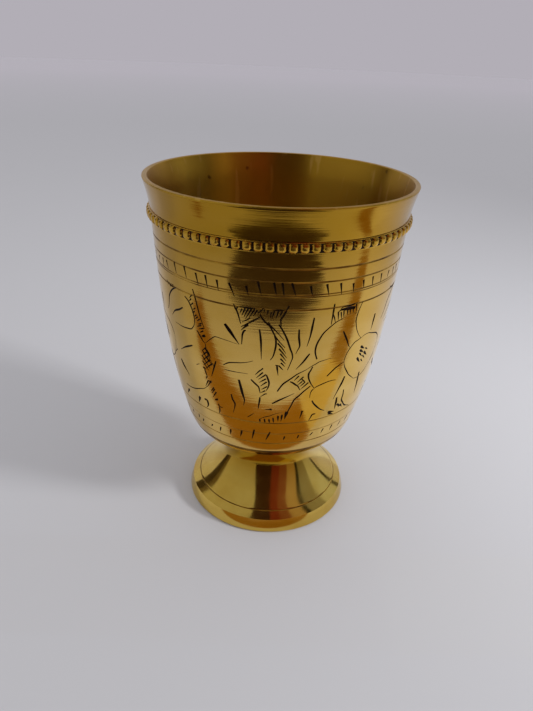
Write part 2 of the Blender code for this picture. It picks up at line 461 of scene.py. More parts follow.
STEM = (
    ("line", (-37.1, 81.5), (-36.3, 80), (-35.3, 77.7), (-34.2, 74.8), (-33.1, 72.7), (-32, 71)),
    *straight(
        "hatch",
        (-37.8, 79.8, -39.5, 78.6), (-37.5, 77.5, -39.3, 76.6), (-36.3, 76.3, -37.9, 75.6),
        (-36, 74.4, -37.5, 73.7), (-34.2, 73.5, -36, 72.6), (-33.4, 72.4, -35.6, 71.7),
        (-32.4, 71.1, -35.3, 70.4), (-32.7, 70.3, -35, 69.4), (-32.2, 69.2, -34.3, 68.4),
    ),
    ("line", (-36.7, 69.8), (-34.8, 68.3), (-33.6, 67.2), (-32.4, 66.6)),
    ("fine", (-32.2, 66.5), (-32, 64.5), (-30, 61.5), (-28, 60)),
    *straight(
        "hatch",
        (-32.4, 65.2, -34.4, 64.1), (-32, 64, -34.9, 62.4), (-31.1, 63, -35, 60.8),
        (-30.4, 61.8, -34.8, 59.3), (-29.3, 60.8, -34, 58.2), (-34.6, 64.2, -31.5, 61.2),
        (-35.2, 62.4, -30.8, 58.9), (-35.2, 60.6, -31.8, 58), (-32.4, 62.4, -29.4, 60.2),
    ),
    ("broad", (-32.6, 65), (-31, 63.9), (-29.8, 62.4)),
    ("broad", (-35.4, 58.5), (-33.8, 58.1)),
    *straight(
        "hatch",
        (-38.4, 78.6, -39.9, 77.6), (-36.9, 75.3, -38.4, 74.5), (-35.2, 74, -37, 73.1),
        (-33.6, 71.8, -36.4, 70.9),
    ),
    ("broad", (-31.8, 69), (-33.8, 68.3)),
    ("hatch", (-33.4, 56), (-34.6, 54.6)),
    ("broad", (-32.6, 54.4), (-30.9, 54.2)),
    ("hatch", (-29.6, 52.2), (-32, 50.2)),
    ("broad", (-28.5, 48.8), (-30.6, 48.1)),
    ("line", (-27, 62), (-28, 60.5), (-29, 58.8), (-30.5, 56.5)),
    ("line", (-34.5, 58), (-33.3, 55.5)),
    *straight(
        "hatch",
        (-33, 54.6, -35.5, 52), (-31, 54.8, -34.5, 52), (-30, 52.7, -32.2, 51),
        (-28.8, 51.3, -31.5, 49), (-28.4, 49, -29.8, 48.5),
    ),
    ("line", (-28.6, 47.2), (-28, 46.2), (-26, 46.3)),
    ("line", (-28.2, 46), (-28.3, 44.6), (-29, 43.6)),
)

LEAVES = (
    ("hair", (-32.2, 66.7), (-30, 68), (-28, 69), (-26.3, 69.7), (-22, 69.5), (-19, 69.3), (-15.6, 68.9)),
    ("wide", (-21.3, 74.2), (-18.5, 72), (-14.8, 68.9)),
    ("line", (-17, 80.2), (-16.3, 79.2), (-15.5, 78.4), (-14.9, 77.2), (-14.4, 76), (-14, 75)),
    *straight(
        "hatch",
        (-15.2, 79.6, -15.9, 78.9), (-13.3, 79.3, -14.3, 78), (-12, 79.5, -13.5, 77.4),
        (-10.8, 79.5, -12.6, 77), (-9.3, 79.6, -12, 76.6), (-8, 79.6, -10.6, 76.8),
        (-6.9, 79.4, -8.6, 77.6),
    ),
    ("line", (-15, 79.75), (-10, 79.72), (-4.2, 79.72)),
    ("line", (4.6, 79.74), (0, 79.7), (-3.6, 79.72)),
    ("line", (-5.9, 77.5), (-8, 76.6), (-10, 75.8), (-11.6, 75.1), (-13.9, 74.2)),
    ("fine", (-9.8, 77), (-11.5, 76.3), (-13.5, 75.6)),
    ("broad", (-10.6, 75), (-11.4, 74.8), (-13.9, 73.2)),
    ("line", (-11.7, 73.4), (-12.6, 73.1), (-13.3, 72), (-13.5, 70.5), (-13.7, 69.1)),
    ("dash", (-5.9, 74.1), (-5.4, 72), (-5.1, 70), (-5, 68), (-4.8, 65.2)),
    (
        "fine",
        (-23.2, 61.5), (-21.5, 62.2), (-20, 62.7), (-17, 63.1),
        (-14, 63.4), (-11, 63.9), (-8.5, 64.5),
    ),
    ("hair", (-22.8, 60.2), (-20, 60.1), (-11, 60.2)),
    *straight(
        "hatch",
        (-4, 79.8, -4.3, 78.9), (-2.6, 79.7, -2.9, 78.2), (-1.2, 79.2, -1.6, 77.6),
        (0, 79.5, -0.9, 77.4), (1.6, 79.6, 0.8, 77.5), (3.2, 79.6, 2.2, 77.8),
    ),
    ("line", (-4.2, 80), (-5.2, 79.5), (-6.7, 78.5)),
    ("line", (5.8, 81), (4.6, 79.3), (3.4, 77.8), (2.8, 77.2), (2.9, 76), (3.2, 75.2)),
    ("line", (-6, 78.3), (-5, 77.4), (-3.5, 76.2), (-1.6, 75.2), (0.3, 73), (2.2, 71.2), (5.3, 69.1)),
    ("fine", (-2.3, 76.3), (-1, 75.2), (1, 73.9), (2.6, 72.8), (4.8, 71.3)),
    (
        "line",
        (2, 75.8), (3.4, 74.6), (5.8, 71.8), (7.8, 68.5),
        (8.6, 67.4), (9, 66.1), (8.6, 65), (7.2, 62.2),
    ),
    ("line", (0.5, 72.5), (1.2, 71.3), (1.3, 69.5), (0.8, 67.6), (0.2, 66.2), (-0.9, 65.2)),
    ("hatch", (2, 70.4), (4, 69), (5.9, 67.3)),
    ("hatch", (2.7, 68.8), (4.6, 67.4), (6.4, 66)),
    ("hatch", (3.4, 67.3), (4.6, 66.4), (6.2, 65.1)),
    ("hatch", (3.6, 65.8), (4.8, 65), (6.1, 64.1)),
    *straight("hatch", (4, 64.5, 5.8, 63.3), (3.1, 63.6, 5.2, 62.2)),
    ("dash", (2.3, 63.6), (2.5, 62.5), (3.1, 60.4)),
    ("fine", (1.5, 63.7), (3.1, 63.6)),
    ("dash", (10.8, 74.4), (11, 72), (11.7, 69.6), (11, 68.4), (10.2, 67.1)),
    ("dash", (16.8, 77.5), (16.4, 75), (16, 72.5), (15.4, 70.5), (14.9, 69.2)),
    ("dash", (16.7, 67), (15.6, 66), (14, 64.5), (12.4, 63.3), (11, 62.3)),
    ("line", (-2.3, 60.5), (-1.7, 59.5), (-1, 58.2), (-1, 57), (-1.5, 56), (-2.3, 55.2)),
    ("line", (-9.5, 58.5), (-8.7, 58), (-7, 57), (-5.8, 56.3), (-5.4, 55.2), (-5, 54.2)),
    *straight(
        "hatch",
        (-5.2, 61.8, -7.5, 60.2), (-3.9, 62.5, -6, 61.2), (-3.9, 61.2, -7, 59.2),
        (-2.4, 60.6, -6, 58.8), (-2.4, 59.2, -5.6, 57.8), (-2, 58.2, -5, 56.6),
        (-1.7, 56.7, -4.5, 55.5), (-2.6, 55.2, -4.7, 54.4),
    ),
    ("fine", (-1.7, 54.1), (-2.6, 54.1), (-4, 53.4), (-5, 53)),
    ("line", (-5.1, 52.8), (-5.3, 51.5), (-5.7, 50), (-5.9, 48.7)),
    (
        "line",
        (3.2, 55.1), (4.4, 56.5), (5.9, 57.8), (7.5, 58.6),
        (9.8, 59.7), (11.9, 60.75), (14, 61.4), (16.1, 62),
    ),
    ("hair", (15.8, 61.9), (18.5, 63), (20, 63.4), (22, 64.1), (24, 64.3), (26, 64.5), (28.5, 64.6)),
    ("line", (8.9, 58.4), (10, 58.1), (11.7, 57.3), (13, 56.75), (13.6, 56), (14.4, 55.3)),
    *straight(
        "hatch",
        (12.9, 60.2, 10.8, 58.7), (15.2, 59.8, 12.3, 58), (14.8, 58.3, 13, 57.2),
        (16.2, 57.9, 14, 56.6), (18, 57.7, 14.5, 55.6),
    ),
    ("line", (14.5, 59), (16.3, 57.9)),
    (
        "line",
        (19.3, 56.4), (16.1, 54.7), (14, 53.3), (12.1, 52.25),
        (10.7, 50), (9.5, 48.1), (8.6, 46.7), (8.2, 45.2),
    ),
    ("broad", (8.9, 47.7), (8.7, 47.2), (8.4, 46.4)),
    ("dash", (1, 50.8), (2.3, 51.3), (5, 52.3), (8.2, 53.3), (11.7, 54.4)),
    ("dash", (1.2, 48.5), (0.4, 48.7), (-1, 48.6), (-2.7, 48.5)),
    ("hair", (-5, 44.8), (-3.7, 45.3), (-2, 45.8), (0, 46.2), (2, 46.8), (4, 47.3), (6.5, 47.5)),
    *straight(
        "dash",
        (-5.2, 44.8, -4.9, 43.5), (-2.6, 45, -2.2, 43.3), (-0.2, 45, 0.2, 43.4), (1.9, 45.6, 2.4, 43.6),
        (4.5, 46.4, 4.7, 44.2), (6.6, 46.8, 6.3, 44.2),
    ),
    ("wide", (9, 47.9), (8.6, 46.8), (8.1, 45)),
    ("dash", (17.2, 47.8), (17, 46.5), (16.4, 44.8)),
    ("fine", (16.5, 47.7), (18.2, 47.5)),
    ("dash", (25.4, 45.7), (23.6, 45.7), (22.8, 44.5), (22, 43.3)),
    ("broad", (-15.5, 57.8), (-14.8, 55.8), (-14.2, 54), (-13.6, 52.5), (-13, 51), (-13.7, 49)),
    ("dash", (-20, 52.2), (-19.5, 50.5), (-18.3, 49), (-18.8, 47.5), (-19.8, 45.5)),
    ("hair", (-12, 44.8), (-10, 45.8), (-8, 46.8)),
)

FLOWER = (
    (
        "line",
        (20.5, 65), (19.2, 67.3), (19.4, 69.5), (20.6, 71.3),
        (22, 72.8), (24.5, 74.2), (27.5, 75.5), (31, 76.3),
    ),
    ("bright", (30.6, 76.25), (34, 76.8), (37.8, 77)),
    ("fine", (40.4, 79.8), (38.9, 77.3), (38.3, 75), (38.7, 73.8), (40, 71.7), (42.2, 69.7), (44.4, 68.4)),
    (
        "fine",
        (63, 64), (62, 65.4), (60, 66.6), (58, 67.3), (55, 67.9),
        (52, 68.5), (50, 68.9), (47, 68.9), (44.4, 68.4),
    ),
    (
        "fine",
        (44.4, 68.4), (42, 68), (40.5, 67.7), (39, 66.9),
        (37, 65.2), (36.1, 63.5), (36.1, 62.3), (36.6, 61.3),
    ),
    ("fine", (36.6, 61.3), (37.6, 60.1), (40, 58.2), (41.75, 57), (44.25, 55.8), (46.5, 54.75)),
    ("hair", (46.5, 54.75), (50, 54.4), (54, 54.9), (58, 56.4), (61, 58.6), (62.9, 61.4), (63, 64)),
    *straight("broad", (45.8, 65.5, 49.4, 64.1), (45.8, 64.3, 49.4, 62.9)),
    ("dash", (46, 63.3), (49, 61.7)),
    ("broad", (44.9, 62), (48.2, 59.9)),
    ("dash", (50.4, 64.1), (52.8, 63.2)),
    ("broad", (49.8, 63), (53.4, 61.2)),
    *straight("dash", (49.4, 61.9, 52, 60.5), (48.6, 60.8, 50.8, 59.6)),
    ("broad", (52, 74.4), (51.8, 72.5), (51.4, 69.5)),
    ("dash", (32, 72.3), (33.5, 70.8), (35.3, 69), (36.8, 67.3), (37.9, 66.5)),
    ("line", (27.3, 58.8), (29, 59.7), (31, 60.8), (33, 61.5), (34.5, 62), (36, 62.2)),
    ("broad", (39, 57), (38, 54.8), (36.6, 52.7), (34.8, 49.6)),
    ("broad", (37.2, 49.9), (37.8, 47.9), (37.9, 46.7), (38.3, 45.3)),
    ("broad", (50.8, 56), (51.2, 54), (51.9, 52), (52.3, 50), (52.8, 48)),
    ("line", (25.3, 80.8), (25.2, 79), (25.1, 77), (25, 75)),
    ("fine", (25.2, 78), (26.2, 76.7), (26.9, 75.4)),
    ("wide", (36.4, 78.6), (34, 78.8), (31, 78.8), (29, 78.8), (27.3, 78.2)),
    ("line", (37.4, 79.8), (33, 79.6), (30, 79.6), (28.6, 79)),
    *straight(
        "hatch",
        (27.6, 78.4, 28.2, 76), (29, 78.2, 29.8, 76.2), (30.4, 78.4, 30.8, 76.5),
        (32.2, 78.6, 32.6, 77), (33.6, 78.8, 34, 77), (35, 79, 35.8, 77.2), (36.8, 79.6, 37.4, 77.3),
    ),
    (
        "line",
        (19, 62.8), (18.2, 61.5), (17.5, 60.7), (17.75, 59.2),
        (18.8, 57.8), (19.8, 56.8), (21.5, 55.5),
    ),
    ("fine", (21.5, 55.4), (22.8, 55.9), (26, 56.5), (29, 56.9), (32, 56.9), (33.5, 56.7)),
    ("fine", (21.3, 55.3), (20.6, 54.8), (20, 54), (20, 52.2)),
    ("line", (21.6, 51.1), (22.7, 50), (24.4, 48.9), (26, 48), (27.6, 47.2), (29, 46.7), (30.7, 46.2)),
    ("line", (41, 52), (41.6, 50), (41.6, 48.2), (43.25, 47), (45, 45.8), (47.5, 44.8), (51.5, 43.8)),
    ("wide", (33.6, 45.1), (35.6, 44.8), (38.4, 44.5)),
    ("broad", (34, 44.4), (36, 44), (38.2, 43.5)),
    ("broad", (38.9, 47.1), (40.6, 46.4), (43.4, 45.4)),
    *straight("hatch", (39.6, 46.9, 41.4, 45.4), (42, 46.6, 44, 45), (44.6, 46, 47, 44.6)),
    (
        "line",
        (71.1, 79.7), (68.3, 78.75), (65.8, 77.5), (63.6, 75.8),
        (62.7, 74.3), (61.6, 72.7), (60, 71.3),
    ),
    *straight(
        "hatch",
        (63.4, 80.1, 64.6, 79.2), (65.2, 80.1, 66.6, 79), (67, 80.1, 68.2, 79.2),
        (68.6, 80.2, 69.8, 79.4),
    ),
    ("fine", (63, 80.3), (67, 79.4), (71.4, 79.8)),
    ("line", (77.4, 78.5), (79.4, 77.7), (80.8, 76.5), (81.75, 75.2), (82.4, 73.5), (82.4, 72), (81.9, 71)),
    ("fine", (81.9, 71), (79.9, 69.5), (77.2, 69.1), (73, 68.75), (67, 68.75)),
    ("dash", (75, 74.8), (72, 73.6), (69, 72.8), (67, 72), (64.2, 70.3)),
    ("dash", (79, 64.2), (77, 63.6), (74, 62.7), (71.5, 61.8), (68, 60.4)),
    ("wide", (66.2, 56.8), (68, 55.2), (69.7, 54.3), (72.2, 52.7)),
    ("hair", (64.1, 59.5), (62, 58.6), (60, 57.5)),
    (
        "fine",
        (66, 48.2), (70.2, 48.25), (74.7, 48.8), (77.4, 49.4),
        (80, 50.1), (82.7, 50.7), (84.4, 51.5), (86.9, 53),
    ),
    ("wide", (78, 46.7), (77.2, 45.7), (76, 44.2)),
    ("broad", (81.6, 46.6), (83.4, 46.8), (83.9, 45.6), (83.4, 44.6), (82.2, 43.8)),
    ("broad", (68.2, 46.8), (66.5, 45.8), (64.5, 44.4)),
    ("hair", (80, 58.3), (82.5, 59.1)),
)

BORDER = (
    *straight(
        "tick",
        (-54.8, 86.3, -53.5, 84), (-48, 87, -47, 84), (-41.2, 87, -40.2, 84), (-34.6, 86.3, -33.5, 83),
        (-29.6, 86.4, -28.8, 83.2), (-24.2, 85.9, -23.6, 83), (-18.8, 85.7, -16.5, 82.3),
        (-11.7, 85.6, -10.7, 83), (-7, 87, -5.5, 83.5), (-0.7, 87, 0.5, 83.5), (2.6, 87, 3.6, 83.3),
        (6.3, 87, 8.2, 83.5), (13.8, 86.2, 15, 83.5), (20.6, 86.4, 22, 83.3), (26.8, 86.3, 27.8, 83.2),
        (33, 85.7, 33.8, 83.2), (38.4, 86, 39.2, 83.7), (44, 86.2, 44.6, 83.5), (50, 86.2, 50.6, 83.5),
        (56.6, 86, 56, 84.2), (61.4, 86.2, 61.6, 83.8),
    ),
    *straight(
        "dash",
        (-44.5, 37.5, -46, 36), (-36.5, 37.4, -38, 36.2), (-30, 37.8, -31.3, 35.8),
        (-23, 38.3, -23.7, 36), (-15.7, 39, -17, 36.3), (-8.2, 40.3, -9.8, 36.2),
        (0.8, 39.8, -1.6, 36.2), (9.5, 38, 9, 36.4), (18, 38, 17.5, 36.5), (27, 38, 25.5, 36.8),
        (34.4, 38.4, 33.6, 36.6), (41.2, 38.6, 40.6, 36.4), (49.2, 38.2, 47.8, 36.4),
        (56.6, 38.4, 55.4, 36.2), (64, 38, 62.8, 36.2), (71.2, 38.2, 70, 36.4),
    ),
)


# Materials

# Heights that the bowl's colour grows darker between, towards the lip
DARKENING_SPAN = (56 * MM, 98 * MM)

# Heights on the foot between which its colour is painted darker, up to the neck as painted shade under the
# bowl and down to the rim's edge as a fainter painted amber reflection
NECK_PAINTED_SHADE = (9 * MM, 17 * MM)
RIM_PAINTED_REFLECTION = (5 * MM, 3 * MM)

PIT_SPACING = 7 * MM
PIT_RADIUS = 0.3 * MM

# Millimetres that fine and coarse lathe rings run on, and the turn that draws light out across them
FINE_RING_RUN = 45.0
COARSE_RING_RUN = 90.0
QUARTER_TURN = 0.25


def add_node(tree, kind, inputs=None, **settings):
    """Adds a node with its settings, and sets or links its inputs."""
    node = tree.nodes.new(kind)
    for name, value in settings.items():
        setattr(node, name, value)
    for name, value in (inputs or {}).items():
        if isinstance(value, bpy.types.NodeSocket):
            tree.links.new(value, node.inputs[name])
        else:
            node.inputs[name].default_value = value
    return node


def new_material(name, tone, roughness, metallic=1.0):
    """A material with the shader's plain sockets set, its node tree and its shader."""
    material = bpy.data.materials.new(name)
    material.use_nodes = True
    shader = material.node_tree.nodes["Principled BSDF"]
    shader.inputs["Base Color"].default_value = (*tone, 1.0)
    shader.inputs["Metallic"].default_value = metallic
    shader.inputs["Roughness"].default_value = roughness
    return material, material.node_tree, shader


def grain(tree, across, up, detail):
    """Noise on Object coordinates, so many millimetres long round the cup and high up it."""
    place = add_node(tree, "ShaderNodeTexCoord").outputs["Object"]
    scale = (1 / (across * MM), 1 / (across * MM), 1 / (up * MM))
    fitted = add_node(tree, "ShaderNodeMapping", {"Vector": place, "Scale": scale}).outputs["Vector"]
    noise = add_node(tree, "ShaderNodeTexNoise", {"Vector": fitted, "Scale": 1.0, "Detail": detail})
    return noise.outputs["Fac"]


def mottle(tree, across, up, detail, levels, reach):
    """Grain of a size in millimetres, with what lies between two of its levels drawn out over a reach."""
    inputs = {"Value": grain(tree, across, up, detail)}
    inputs.update(zip(("From Min", "From Max", "To Min", "To Max"), (*levels, *reach)))
    return add_node(tree, "ShaderNodeMapRange", inputs).outputs["Result"]


def by_height(tree, heights, most):
    """A mask that grows from nothing at one height to its most at another."""
    place = add_node(tree, "ShaderNodeTexCoord").outputs["Object"]
    height = add_node(tree, "ShaderNodeSeparateXYZ", {"Vector": place}).outputs["Z"]
    inputs = {"Value": height, "From Min": heights[0], "From Max": heights[1], "To Max": most}
    return add_node(tree, "ShaderNodeMapRange", inputs).outputs["Result"]


def layer_tones(tree, shader, base, *layers):
    """Colours the shader with a base tone and others over it, each as far as its mask lets it through."""
    tone = (*base, 1.0)
    for mask, over in layers:
        inputs = {0: mask, 6: tone, 7: (*over, 1.0)}
        tone = add_node(tree, "ShaderNodeMix", inputs, data_type="RGBA").outputs[2]
    tree.links.new(tone, shader.inputs["Base Color"])


def turned_finish(tree, shader, fine, coarse, depth, stretch):
    """Rings that a lathe leaves, coarser than real ones so that they show.

    They break a reflection up in height and draw it out upwards.
    """
    both = {
        0: grain(tree, FINE_RING_RUN, fine, 2.0),
        1: grain(tree, COARSE_RING_RUN, coarse, 1.0),
    }
    rings = add_node(tree, "ShaderNodeMath", both, operation="ADD").outputs["Value"]
    bump = add_node(tree, "ShaderNodeBump", {"Height": rings, "Strength": 1.0, "Distance": depth * MM})
    tree.links.new(bump.outputs["Normal"], shader.inputs["Normal"])
    facing = add_node(tree, "ShaderNodeNewGeometry").outputs["Normal"]
    round_about = add_node(tree, "ShaderNodeVectorMath", {0: UP, 1: facing}, operation="CROSS_PRODUCT")
    tree.links.new(round_about.outputs["Vector"], shader.inputs["Tangent"])
    shader.inputs["Anisotropic"].default_value = stretch
    shader.inputs["Anisotropic Rotation"].default_value = QUARTER_TURN


def turned_brass(finish):
    """Cast brass, turned and buffed: a warm mirror with fine rings and a few pits, darker towards the lip."""
    material, tree, shader = new_material("turned_buffed_brass", finish.brass, roughness=0.17)
    turned_finish(tree, shader, fine=0.42, coarse=1.6, depth=0.016, stretch=0.35)
    cloud = mottle(tree, across=14.0, up=9.0, detail=4.0, levels=(0.42, 0.75), reach=(0.0, 0.8))
    # The colour grows darker towards the lip
    darker_toward_lip = by_height(tree, DARKENING_SPAN, most=0.9)
    place = add_node(tree, "ShaderNodeTexCoord").outputs["Object"]
    cells = add_node(tree, "ShaderNodeTexVoronoi", {"Vector": place, "Scale": 1 / PIT_SPACING})
    pit = {"Value": cells.outputs["Distance"], "From Min": PIT_RADIUS / PIT_SPACING, "From Max": 0.0}
    pits = add_node(tree, "ShaderNodeMapRange", {**pit, "To Max": 0.9}).outputs["Result"]
    layers = (cloud, finish.warm_brass), (darker_toward_lip, finish.handled_and_shaded_brass), (pits, finish.patina)
    layer_tones(tree, shader, finish.brass, *layers)
    wear = mottle(tree, across=5.0, up=2.5, detail=3.0, levels=(0.35, 0.75), reach=(0.09, 0.17))
    tree.links.new(wear, shader.inputs["Roughness"])
    return material


def mirror_brass(finish):
    """Turned brass, buffed to a mirror, with faint finger smears, painted shade at the neck and a painted
    amber reflection at the rim's edge.
    """
    material, tree, shader = new_material("mirror_buffed_brass", finish.foot_brass, roughness=0.1)
    turned_finish(tree, shader, fine=0.5, coarse=3.0, depth=0.001, stretch=0.3)
    cloud = mottle(tree, across=9.0, up=6.0, detail=3.0, levels=(0.45, 0.8), reach=(0.0, 0.6))
    # Painted shade: the foot grows darker up to its neck under the bowl. Painted reflection: a fainter amber
    # darkening down to the rim's edge.
    ends = {0: by_height(tree, NECK_PAINTED_SHADE, most=1.0), 1: by_height(tree, RIM_PAINTED_REFLECTION, most=0.25)}
    darker = add_node(tree, "ShaderNodeMath", ends, operation="MAXIMUM").outputs["Value"]
    layer_tones(tree, shader, finish.foot_brass, (cloud, finish.warm_brass), (darker, finish.handled_and_shaded_brass))
    smear = mottle(tree, across=6.0, up=3.0, detail=4.0, levels=(0.4, 0.8), reach=(0.09, 0.18))
    tree.links.new(smear, shader.inputs["Roughness"])
    return material


def bored_brass(finish):
    """Brass as the boring tool left it: duller, its darker tone partly painted shade inside the cup, with
    painted upright streaks of light and a few stains.
    """
    material, tree, shader = new_material("bored_dull_brass", finish.shaded_inner_brass, roughness=0.3)
    turned_finish(tree, shader, fine=0.4, coarse=2.0, depth=0.006, stretch=0.9)
    stain = mottle(tree, across=5.0, up=5.0, detail=1.0, levels=(0.74, 0.79), reach=(0.0, 0.8))
    # Painted highlights: thin upright streaks of light painted in the polished brass tone
    painted_streak_highlight = mottle(tree, across=2.2, up=120.0, detail=1.0, levels=(0.62, 0.72), reach=(0.0, 0.6))
    layer_tones(tree, shader, finish.shaded_inner_brass, (stain, finish.stain), (painted_streak_highlight, finish.brass))
    wear = mottle(tree, across=8.0, up=4.0, detail=3.0, levels=(0.35, 0.75), reach=(0.34, 0.42))
    tree.links.new(wear, shader.inputs["Roughness"])
    return material


def dark_patina(finish):
    """Oxide and polish left in a cut line: a dull brown-black that lets a little brass through."""
    material, tree, shader = new_material("oxide_patina", finish.patina, roughness=0.5, metallic=0.8)
    speck = mottle(tree, across=0.8, up=0.8, detail=2.0, levels=(0.5, 0.85), reach=(0.0, 0.4))
    layer_tones(tree, shader, finish.patina, (speck, finish.stain))
    return material


def worn_patina(finish):
    """A shallow turned line that polishing has half cleaned: brown brass rather than black."""
    material, tree, shader = new_material("worn_line_patina", finish.stain, roughness=0.35, metallic=0.9)
    rub = mottle(tree, across=7.0, up=7.0, detail=3.0, levels=(0.35, 0.7), reach=(0.0, 0.8))
    layer_tones(tree, shader, finish.stain, (rub, finish.warm_brass))
    return material


def rolled_brass(finish):
    """Brass wire rolled into beads: bright, with brown handling on it and uneven wear."""
    material, tree, shader = new_material("rolled_bead_brass", finish.warm_brass, roughness=0.2)
    cloud = mottle(tree, across=4.0, up=4.0, detail=3.0, levels=(0.4, 0.75), reach=(0.0, 0.8))
    layer_tones(tree, shader, finish.warm_brass, (cloud, finish.handled_and_shaded_brass))
    wear = mottle(tree, across=1.2, up=1.2, detail=2.0, levels=(0.35, 0.75), reach=(0.15, 0.32))
    tree.links.new(wear, shader.inputs["Roughness"])
    return material


def flowed_metal(name, tone, roughness):
    """Solder or braze that has flowed and set: satin, with a slight orange-peel skin."""
    material, tree, shader = new_material(name, tone, roughness)
    skin = {"across": 0.6, "up": 0.6, "detail": 2.0}
    peel = {"Height": grain(tree, **skin), "Strength": 0.6, "Distance": 0.01 * MM}
    bump = add_node(tree, "ShaderNodeBump", peel)
    tree.links.new(bump.outputs["Normal"], shader.inputs["Normal"])
    wear = mottle(tree, **skin, levels=(0.3, 0.7), reach=(roughness, roughness + 0.12))
    tree.links.new(wear, shader.inputs["Roughness"])
    return material


def shared_material(name, make, finish):
    """A material that more than one piece wears, made once."""
    return bpy.data.materials.get(name) or make(finish)


# Engraving

def graver_width(graver, share):
    """The width of a cut at a share of its way, in metres."""
    start, body, end = GRAVERS[graver]
    if share < GRAVER_PEAK:
        return (start + (body - start) * share / GRAVER_PEAK) * MM
    return (body + (end - body) * (share - GRAVER_PEAK) / (1 - GRAVER_PEAK)) * MM


def on_bowl(outside, angle, height):
    """The point on the bowl's outside at an angle from the front, and the way out of the metal there."""
    turn = Matrix.Rotation(angle - math.pi / 2, 3, "Z")
    return turn @ at_height(outside, height), turn @ normal_at(outside, height)


def stroke_path(outside, points, shift):
    """Close points of a smooth stroke on the bowl, each with the way out of the metal."""
    drawn = [Vector((math.radians(angle + shift), height * MM, 0.0)) for angle, height in points]
    ends = [2 * drawn[0] - drawn[1], *drawn, 2 * drawn[-1] - drawn[-2]]
    flat = [drawn[0]]
    for before, start, end, after in zip(ends, ends[1:], ends[2:], ends[3:]):
        first = on_bowl(outside, start.x, start.y)[0]
        last = on_bowl(outside, end.x, end.y)[0]
        count = max(2, math.ceil((last - first).length / STROKE_STEP))
        first_handle = start + (end - before) / 6
        last_handle = end - (after - start) / 6
        flat += interpolate_bezier(start, first_handle, last_handle, end, count + 1)[1:]
    return [on_bowl(outside, point.x, point.y) for point in flat]


def graver_section(path, index, graver):
    """The three corners of the graver at one point of its path: two over the metal and one at its point."""
    place, out = path[index]
    before = path[max(index - 1, 0)][0]
    after = path[min(index + 1, len(path) - 1)][0]
    side = out.cross(after - before).normalized()
    width = graver_width(graver, index / (len(path) - 1))
    depth = min(width * GRAVER_SLOPE, DEEPEST_CUT)
    half = width / 2 * (1 + CUTTER_RISE / depth)
    top = place + out * CUTTER_RISE
    return [top + side * half, top - side * half, place - out * depth]


def stroke_cutter(name, outside, stroke, shift, materials, collection):
    """A closed cutter, as a three-cornered face drawn along the stroke."""
    graver, *points = stroke
    path = stroke_path(outside, points, shift)
    bm = bmesh.new()
    section = graver_section(path, 0, graver)
    face = bm.faces.new([bm.verts.new(corner) for corner in section])
    for index in range(1, len(path)):
        drawn = bmesh.ops.extrude_face_region(bm, geom=[face])
        if index > 1:
            bmesh.ops.delete(bm, geom=[face], context="FACES_ONLY")
        face = next(part for part in drawn["geom"] if isinstance(part, bmesh.types.BMFace))
        ahead = graver_section(path, index, graver)
        for vert in face.verts:
            vert.co = ahead[min(range(3), key=lambda corner: (section[corner] - vert.co).length)]
        section = ahead
    bmesh.ops.recalc_face_normals(bm, faces=bm.faces)
    for face in bm.faces:
        face.material_index = FRESH if graver == "bright" else PATINA
    return new_object(name, bm, materials, collection)


def engrave(bowl, outside):
    """Cuts every stroke out of the bowl at once, and leaves patina in the cuts."""
    drawing = STEM + LEAVES + FLOWER + BORDER
    cutters = bpy.data.collections.new("gravers")
    bpy.context.scene.collection.children.link(cutters)
    for turn in range(REPEATS):
        for index, stroke in enumerate(drawing):
            name = f"graver_{turn}_{index}"
            stroke_cutter(name, outside, stroke, 360 / REPEATS * turn, bowl.data.materials, cutters)
    cut = bowl.modifiers.new("engraving", "BOOLEAN")
    cut.operation = "DIFFERENCE"
    cut.operand_type = "COLLECTION"
    cut.collection = cutters
    cut.solver = "MANIFOLD"
    plain = bowl.data
    bpy.context.view_layer.update()
    engraved = bpy.data.meshes.new_from_object(bowl.evaluated_get(bpy.context.evaluated_depsgraph_get()))
    bowl.modifiers.remove(cut)
    bowl.data = engraved
    engraved.name = plain.name
    bpy.data.meshes.remove(plain)
    for cutter in list(cutters.objects):
        mesh = cutter.data
        bpy.data.objects.remove(cutter)
        bpy.data.meshes.remove(mesh)
    bpy.data.collections.remove(cutters)
    clear_slivers(engraved)
    if not any(face.material_index == PATINA for face in engraved.polygons):
        raise RuntimeError("the engraving cut nothing")


def clear_slivers(mesh):
    """Dissolves the faces of no area and the spare corners that cutting leaves where strokes meet."""
    bm = bmesh.new()
    bm.from_mesh(mesh)
    bmesh.ops.dissolve_degenerate(bm, dist=SLIVER, edges=bm.edges)
    spare = [vert for vert in bm.verts if len(vert.link_edges) == 2]
    bmesh.ops.dissolve_verts(bm, verts=spare)
    bm.to_mesh(mesh)
    bm.free()


def true_normals(mesh, outside, lip):
    """Gives the turned wall its smooth outline's normals, so that a cut doesn't bend the mirror round it."""
    smooth(mesh)
    normals = [corner.vector.copy() for corner in mesh.corner_normals]
    known = {}
    for face in mesh.polygons:
        if face.material_index != TURNED:
            continue
        for loop in face.loop_indices:
            index = mesh.loops[loop].vertex_index
            if index not in known:
                known[index] = wall_normal(mesh.vertices[index].co, outside, lip)
            if known[index]:
                normals[loop] = known[index]
    mesh.normals_split_custom_set(normals)


def wall_normal(place, outside, lip):
    """The smooth normal at a point of the turned wall, or nothing where the point is off it."""
    if place.z > lip or abs(place.xy.length - at_height(outside, place.z).x) > ON_WALL:
        return None
    out = normal_at(outside, place.z)
    across = place.xy.normalized() * out.x
    return Vector((across.x, across.y, out.z))


# Pieces

